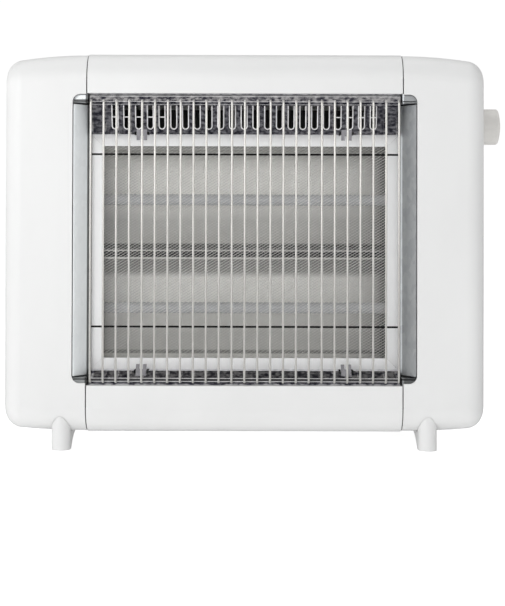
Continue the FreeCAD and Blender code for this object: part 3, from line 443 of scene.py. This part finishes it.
def node_finishes():
    """Finishes for the nodes that differ from their slot, most of them painted light or painted shade."""
    low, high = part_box("top_panel")
    finishes = {
        "back_cover": cover_paint(),
        "left_end_cap": cap_plastic("left", low.x - SEAM, -1),
        "right_end_cap": cap_plastic("right", high.x + SEAM, 1),
        # painted shade: the cross wires are plated like the uprights but near-black, standing for the dark
        # they reflect
        "guard_cross_wires": plated_wire("cross_wire_painted_shade", 1, (0.05, 0.05, 0.05), (0.08, 0.08, 0.08)),
        "frame_clips": plated_wire("clip_steel", 0.5, (0.44, 0.43, 0.46), (0.56, 0.55, 0.58)),
        # painted shade: the heat shield's zinc is near-black, standing for the dark inside the case
        "heat_shield": galvanised("heat_shield_painted_shade", 0.6, (0.05, 0.05, 0.055), (0.09, 0.09, 0.095)),
        "left_side_plate": left_plate_zinc(),
        "right_side_plate": right_plate_zinc(),
        "upper_reflector": trough_sheet("upper_trough_painted_light", "upper_reflector", UPPER_PAINTED_LIGHT),
        "lower_reflector": trough_sheet("lower_trough_painted_light", "lower_reflector", LOWER_PAINTED_LIGHT),
        # painted shade: the right rail is a darker copy of the frame's white
        "frame_right_rail": white_paint("right_rail_painted_shade", (0.82, 0.82, 0.82), (0.85, 0.85, 0.85)),
    }
    # painted light: the frame's white is lighter than the case's, making up for the shade behind the guard
    frame_painted_light = white_paint("frame_painted_light", (0.93, 0.93, 0.93), (0.96, 0.96, 0.96))
    for place in ("top", "bottom", "left"):
        finishes["frame_" + place + "_rail"] = frame_painted_light
    return finishes


def dress_nodes(finishes):
    """Give each CAD node its own finish, or that of its slot in the record."""
    for part in frame["record"]["subparts"]:
        node = frame["nodes"][part["node"]]
        node.data.materials.clear()
        node.data.materials.append(finishes.get(part["node"], finishes[part["material_slot"]]))


# New pieces

def mesh_object(name, points, faces, body, finish):
    mesh = bpy.data.meshes.new(name)
    mesh.from_pydata(points, [], faces)
    mesh.materials.append(finish)
    thing = bpy.data.objects.new(name, mesh)
    bpy.context.scene.collection.objects.link(thing)
    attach(thing, body)
    return thing


def strand(low, high, level, rise, wide, depths, points, faces):
    """Add one flat strand that crosses the mesh at a slant; its lower and upper edge lie at two depths."""
    ends = sorted([low.x, high.x] + [low.x + (edge - level) / rise for edge in (low.z, high.z)])[1:3]
    if ends[0] >= high.x or ends[1] <= low.x:
        return
    half = wide / 2 * math.sqrt(1 + rise * rise)
    places = [(x, level + (x - low.x) * rise) for x in ends]
    start = len(points)
    for back in (0, high.y - low.y):
        for side, depth in zip((-1, 1), depths):
            points += [(x, depth + back / 2, min(max(z + half * side, low.z), high.z)) for x, z in places]
    faces += [tuple(start + corner for corner in loop) for loop in (
        (0, 1, 3, 2), (4, 6, 7, 5), (0, 4, 5, 1), (2, 3, 7, 6), (0, 2, 6, 4), (1, 5, 7, 3))]


def mesh_border(low, high, middle, points, faces):
    """Add the flat ring round the mesh."""
    start = len(points)
    for depth in (middle, high.y):
        for inset in (0, MESH_BORDER):
            left, right = low.x + inset, high.x - inset
            down, up = low.z + inset, high.z - inset
            points += [(left, depth, down), (right, depth, down), (right, depth, up), (left, depth, up)]
    for side in range(4):
        after = (side + 1) % 4
        loops = ((side, after, after + 4, side + 4), (side + 8, side + 12, after + 12, after + 8),
                 (side, side + 8, after + 8, after), (side + 4, after + 4, after + 12, side + 12))
        faces += [tuple(start + corner for corner in loop) for loop in loops]


def fine_mesh(finish):
    """Expanded metal: broad rising strands in front of narrow falling ones, inside a flat border."""
    low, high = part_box("mesh_panel")
    rise = DIAMOND_TALL / DIAMOND_WIDE
    climb = (high.x - low.x) * rise
    count = math.ceil((high.z - low.z + climb) / DIAMOND_TALL)
    middle = (low.y + high.y) / 2
    points, faces = [], []
    for row in range(count):
        level = low.z - climb + (row + 0.5) * DIAMOND_TALL
        strand(low, high, level, rise, RISING_STRAND, (low.y, middle), points, faces)
        strand(low, high, level + climb, -rise, FALLING_STRAND, (middle, low.y), points, faces)
    mesh_border(low, high, middle, points, faces)
    thing = mesh_object("fine_mesh", points, faces, "case", finish)
    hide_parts("mesh_panel")


class Slope:
    """The steep face of the upper or lower bright sheet, with places on it by X and height."""

    def __init__(self, sheet, bend_from_hem, up):
        low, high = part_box(sheet)
        self.hem, self.frame_edge = (high.z, low.z) if up > 0 else (low.z, high.z)
        self.bend = self.hem - bend_from_hem * up
        self.front = low.y
        self.middle = (low.x + high.x) / 2
        self.half = (high.x - low.x) / 2
        self.facing = Vector((0, -abs(self.frame_edge - self.bend), -FACE_RUN * up)).normalized()

    def at(self, x, z, proud=0):
        share = (self.bend - z) / (self.bend - self.frame_edge)
        place = Vector((self.middle + x, self.front + max(share, 0) * FACE_RUN, z))
        return place + self.facing * proud


def bead(path, facing, radius, points, faces, corners=6):
    """Add a round bar along the path to the lists; facing is square to the whole path."""
    start = len(points)
    for index, place in enumerate(path):
        along = path[min(index + 1, len(path) - 1)] - path[max(index - 1, 0)]
        across = along.cross(facing).normalized()
        for corner in range(corners):
            turn = 2 * math.pi * corner / corners
            points.append(place + (across * math.cos(turn) + facing * math.sin(turn)) * radius)
    for index in range(len(path) - 1):
        ring = start + index * corners
        faces += [(ring + corner, ring + (corner + 1) % corners, ring + corners + (corner + 1) % corners,
                   ring + corners + corner) for corner in range(corners)]
    faces.append(tuple(range(start + corners - 1, start - 1, -1)))
    faces.append(tuple(range(len(points) - corners, len(points))))


def slot_rims(slope, finish):
    """A turned edge round each air slot, bright by a painted highlight in its finish: down one side, round
    the bottom and up the other side.
    """
    half = SLOT_WIDE / 2
    low, high = slope.frame_edge + SLOT_LOW, slope.bend - SLOT_HIGH
    turns = [math.pi * step / 10 for step in range(11)]
    points, faces = [], []
    for slot in range(SLOT_COUNT):
        x = (slot - (SLOT_COUNT - 1) / 2) * SLOT_PITCH + SLOT_SHIFT
        bottom = [slope.at(x - half * math.cos(turn), low + half - half * math.sin(turn)) for turn in turns]
        path = [slope.at(x - half, high)] + bottom + [slope.at(x + half, high)]
        bead(path, slope.facing, RIM_RADIUS, points, faces)
    thing = mesh_object("slot_rims", points, faces, "case", finish)
    for face in thing.data.polygons:
        face.use_smooth = True


def sheet_lines(name, slope, levels, radius, finish):
    """Pressed lines along the sheet, at the given heights, bright by a painted highlight in their finish.
    """
    points, faces = [], []
    for level in levels:
        ends = [slope.at(-slope.half, level), slope.at(slope.half, level)]
        bead(ends, slope.facing, radius, points, faces)
    mesh_object(name, points, faces, "case", finish)


def sheet_strip(name, slope, low, high, finish):
    """A thin flat strip along the sheet, between two heights."""
    ends = [(-slope.half, low), (slope.half, low), (slope.half, high), (-slope.half, high)]
    points = [slope.at(x, z, STRIP_PROUD) for x, z in ends] + [slope.at(x, z) for x, z in ends]
    faces = [(0, 1, 2, 3), (7, 6, 5, 4)]
    faces += [(side + 4, (side + 1) % 4 + 4, (side + 1) % 4, side) for side in range(4)]
    mesh_object(name, points, faces, "case", finish)


def slot_ties(slope, finish):
    """Pale strips that cross behind the outer slots."""
    level = slope.frame_edge + TIE_LEVEL
    first = -(SLOT_COUNT - 1) / 2 * SLOT_PITCH + SLOT_SHIFT
    right_first = first + (SLOT_COUNT - RIGHT_TIES) * SLOT_PITCH
    points, faces = [], []
    for start, count in ((first, LEFT_TIES), (right_first, RIGHT_TIES)):
        left, right = start - SLOT_WIDE, start + (count - 1) * SLOT_PITCH + SLOT_WIDE
        base = len(points)
        ends = [(left, level), (right, level), (right, level + TIE_TALL), (left, level + TIE_TALL)]
        for depth in (-TIE_BEHIND, -TIE_BEHIND - TIE_THICK):
            points += [slope.at(x, z, depth) for x, z in ends]
        faces += [(base, base + 1, base + 2, base + 3), (base + 7, base + 6, base + 5, base + 4)]
        faces += [(base + side + 4, base + (side + 1) % 4 + 4, base + (side + 1) % 4, base + side)
                  for side in range(4)]
    mesh_object("slot_ties", points, faces, "case", finish)


def notch_corners(finish):
    """The shaded edge round the upper corner of each cap's notch, from its side to the seam."""
    front, level = cad_box[0].y + NOTCH_LINE, cad_box[1].z - WINDOW_DROP - NOTCH_DROP
    low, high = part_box("top_panel")
    radius = NOTCH_RADIUS - NOTCH_LINE
    points, faces = [], []
    for seam, sign in ((low.x, -1), (high.x, 1)):
        middle = seam + (NOTCH_WIDE - NOTCH_RADIUS) * sign
        turns = [math.pi / 2 * step / 8 for step in range(9)]
        path = [Vector((middle + radius * math.cos(turn) * sign, front,
                        level - NOTCH_RADIUS + radius * math.sin(turn))) for turn in turns]
        path.append(Vector((seam + SEAM * sign, front, level - NOTCH_LINE)))
        bead(path, Vector((0, -1, 0)), NOTCH_LINE, points, faces)
    mesh_object("notch_corners", points, faces, "case", finish)


def sheet_details(finishes):
    """The turned edges and pressed lines of both bright sheets with a painted highlight, the pale strips
    behind the outer slots, and the other strips and the notches' edges with painted shade.
    """
    # painted highlight: pale edges standing for the light caught by turned edges and pressed lines; painted
    # shade: a dark finish for strips and edges in shade
    painted_highlight_edge = bright_sheet("painted_highlight_edge", 0.1, 0.3, 0.45, (0.90, 0.89, 0.89), (0.96, 0.95, 0.95))
    painted_shade_edge = bright_sheet("painted_shade_edge", 0.1, 0.4, 0.5, (0.15, 0.15, 0.155), (0.2, 0.2, 0.205))
    top = Slope("top_reflector", BEND_HIGH, 1)
    slot_rims(top, painted_highlight_edge)
    slot_ties(top, finishes["frame_top_rail"])
    sheet_lines("top_lines", top, (top.hem - BELOW_HEM, top.bend + ABOVE_BEND), TOP_LINE, painted_highlight_edge)
    sheet_lines("slot_line", top, [top.bend - BELOW_BEND], SLOT_LINE, painted_highlight_edge)
    # painted shade: a dark strip under the hem, standing for the shade there
    sheet_strip("hem_painted_shade_strip", top, top.hem - STRIP_LOW, top.hem - STRIP_HIGH, painted_shade_edge)
    notch_corners(painted_shade_edge)
    low = Slope("bottom_reflector", BEND_LOW, -1)
    low_levels = (low.bend + LOW_ABOVE_BEND, low.bend - LOW_BELOW_BEND)
    sheet_lines("bottom_lines", low, low_levels, BOTTOM_LINE, painted_highlight_edge)
    # painted shade: a dark strip along the groove below the bend, standing for its shade
    sheet_strip("bottom_groove_painted_shade", low, low.bend - GROOVE_BELOW, low.bend + GROOVE_ABOVE,
                finishes["dark_plastic"])


# Stage

def pale_floor():
    """A wide round floor, pale to the eye and to the light, but deep grey in reflections."""
    radius, corners = 14, 96
    turns = [2 * math.pi * step / corners for step in range(corners)]
    ring = [(radius * math.cos(turn), radius * math.sin(turn), 0) for turn in turns]
    mesh = bpy.data.meshes.new("floor")
    mesh.from_pydata(ring, [], [tuple(range(corners))])
    material, shader = start_material("pale_floor")
    link(material, colours(material, noise(material, 2), (0.90, 0.90, 0.90), (0.92, 0.92, 0.92)),
         shader.inputs["Base Color"])
    shader.inputs["Roughness"].default_value = 0.9
    shader.inputs["Specular IOR Level"].default_value = 0
    shader.inputs["Emission Color"].default_value = (1, 1, 1, 1)
    path = add_node(material, "ShaderNodeLightPath")
    link(material, between(material, path.outputs["Is Camera Ray"], *FLOOR_GLOW, 0, 1),
         shader.inputs["Emission Strength"])
    away = add_node(material, "ShaderNodeVectorMath")
    away.operation = "LENGTH"
    link(material, surface_place(material), away.inputs[0])
    mirrored = add_node(material, "ShaderNodeEmission", Color=(0.95, 0.95, 1, 1))
    mirror_glow = between(material, away.outputs["Value"], *FLOOR_IN_CHROME, 1, 4)
    link(material, mirror_glow, mirrored.inputs["Strength"])
    choice = add_node(material, "ShaderNodeMixShader")
    link(material, path.outputs["Is Glossy Ray"], choice.inputs["Fac"])
    link(material, shader.outputs["BSDF"], choice.inputs[1])
    link(material, mirrored.outputs["Emission"], choice.inputs[2])
    link(material, choice.outputs["Shader"], material.node_tree.nodes["Material Output"].inputs["Surface"])
    mesh.materials.append(material)
    floor = bpy.data.objects.new("floor", mesh)
    bpy.context.scene.collection.objects.link(floor)


def soft_light(name, place, aim, size, power, in_chrome=True):
    lamp = bpy.data.lights.new(name, "AREA")
    lamp.shape = "RECTANGLE"
    lamp.size, lamp.size_y = size
    lamp.energy = power
    thing = bpy.data.objects.new(name, lamp)
    thing.location = place
    thing.rotation_euler = (Vector(aim) - Vector(place)).to_track_quat("-Z", "Y").to_euler()
    thing.visible_glossy = in_chrome
    bpy.context.scene.collection.objects.link(thing)


def studio_world():
    """White to the eye, even to matt surfaces; in reflections dark, but for bright walls left and right."""
    world = bpy.data.worlds.new("studio")
    world.use_nodes = True
    backdrop = world.node_tree.nodes["Background"]
    backdrop.inputs["Color"].default_value = (1, 1, 1, 1)
    backdrop.inputs["Strength"].default_value = BACKDROP_GLOW
    room = add_node(world, "ShaderNodeBackground", Color=(0.98, 0.99, 1, 1), Strength=ROOM_LIGHT)
    way = add_node(world, "ShaderNodeSeparateXYZ")
    link(world, add_node(world, "ShaderNodeTexCoord").outputs["Generated"], way.inputs["Vector"])
    aside = add_node(world, "ShaderNodeMath")
    aside.operation = "ABSOLUTE"
    link(world, way.outputs["X"], aside.inputs[0])
    walls = between(world, aside.outputs["Value"], FRONT_IN_CHROME, WALLS_IN_CHROME, *WALL_SPAN)
    height = between(world, way.outputs["Z"], 1, 0, *HEIGHT_SPAN)
    glow = add_node(world, "ShaderNodeMath")
    glow.operation = "MULTIPLY"
    link(world, walls, glow.inputs[0])
    link(world, height, glow.inputs[1])
    chrome_room = add_node(world, "ShaderNodeBackground", Color=(1, 0.985, 0.96, 1))
    chrome_glow = between(world, glow.outputs["Value"], TOP_IN_CHROME, 1, 0, 1)
    link(world, chrome_glow, chrome_room.inputs["Strength"])
    path = add_node(world, "ShaderNodeLightPath")
    mirrored, seen = add_node(world, "ShaderNodeMixShader"), add_node(world, "ShaderNodeMixShader")
    link(world, path.outputs["Is Glossy Ray"], mirrored.inputs["Fac"])
    link(world, room.outputs["Background"], mirrored.inputs[1])
    link(world, chrome_room.outputs["Background"], mirrored.inputs[2])
    link(world, path.outputs["Is Camera Ray"], seen.inputs["Fac"])
    link(world, mirrored.outputs["Shader"], seen.inputs[1])
    link(world, backdrop.outputs["Background"], seen.inputs[2])
    link(world, seen.outputs["Shader"], world.node_tree.nodes["World Output"].inputs["Surface"])
    bpy.context.scene.world = world


def studio():
    """Large softboxes: in front, front left, far left and overhead."""
    studio_world()
    bpy.context.scene.view_settings.view_transform = "Standard"
    middle = (0, 0, 0.2)
    soft_light("key_left", (-1.0, -1.6, 0.75), middle, (0.9, 1.2), KEY_POWER)
    soft_light("side_left", (-1.8, -0.5, 0.5), middle, (0.8, 1.0), SIDE_POWER, in_chrome=False)
    soft_light("front", (-0.3, -2.3, 0.42), middle, (1.4, 1.0), FRONT_POWER, in_chrome=False)
    soft_light("overhead", (0, 0.25, 1.8), middle, (1.8, 1.2), TOP_POWER, in_chrome=False)


def camera():
    """A nearly level camera at the photograph's distance, with the horizon above the frame's middle."""
    lens = bpy.data.cameras.new("camera")
    pixels = VIEW_DISTANCE / MM * PIXELS_PER_MM
    lens.lens = lens.sensor_width * pixels / IMAGE_HEIGHT
    pitch = math.radians(PITCH_DEGREES)
    lens.shift_y = (HORIZON_ROW - pixels * math.tan(pitch)) / IMAGE_HEIGHT - 0.5
    thing = bpy.data.objects.new("camera", lens)
    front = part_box("top_panel")[0].y
    thing.location = (EYE_X, front - VIEW_DISTANCE, EYE_HEIGHT)
    thing.rotation_euler = (math.pi / 2 + pitch, math.radians(ROLL_DEGREES), 0)
    bpy.context.scene.collection.objects.link(thing)
    bpy.context.scene.camera = thing


finishes = {**slot_finishes(), **node_finishes()}
dress_nodes(finishes)
fine_mesh(finishes["mesh_wire"])
sheet_details(finishes)
pale_floor()
studio()
camera()
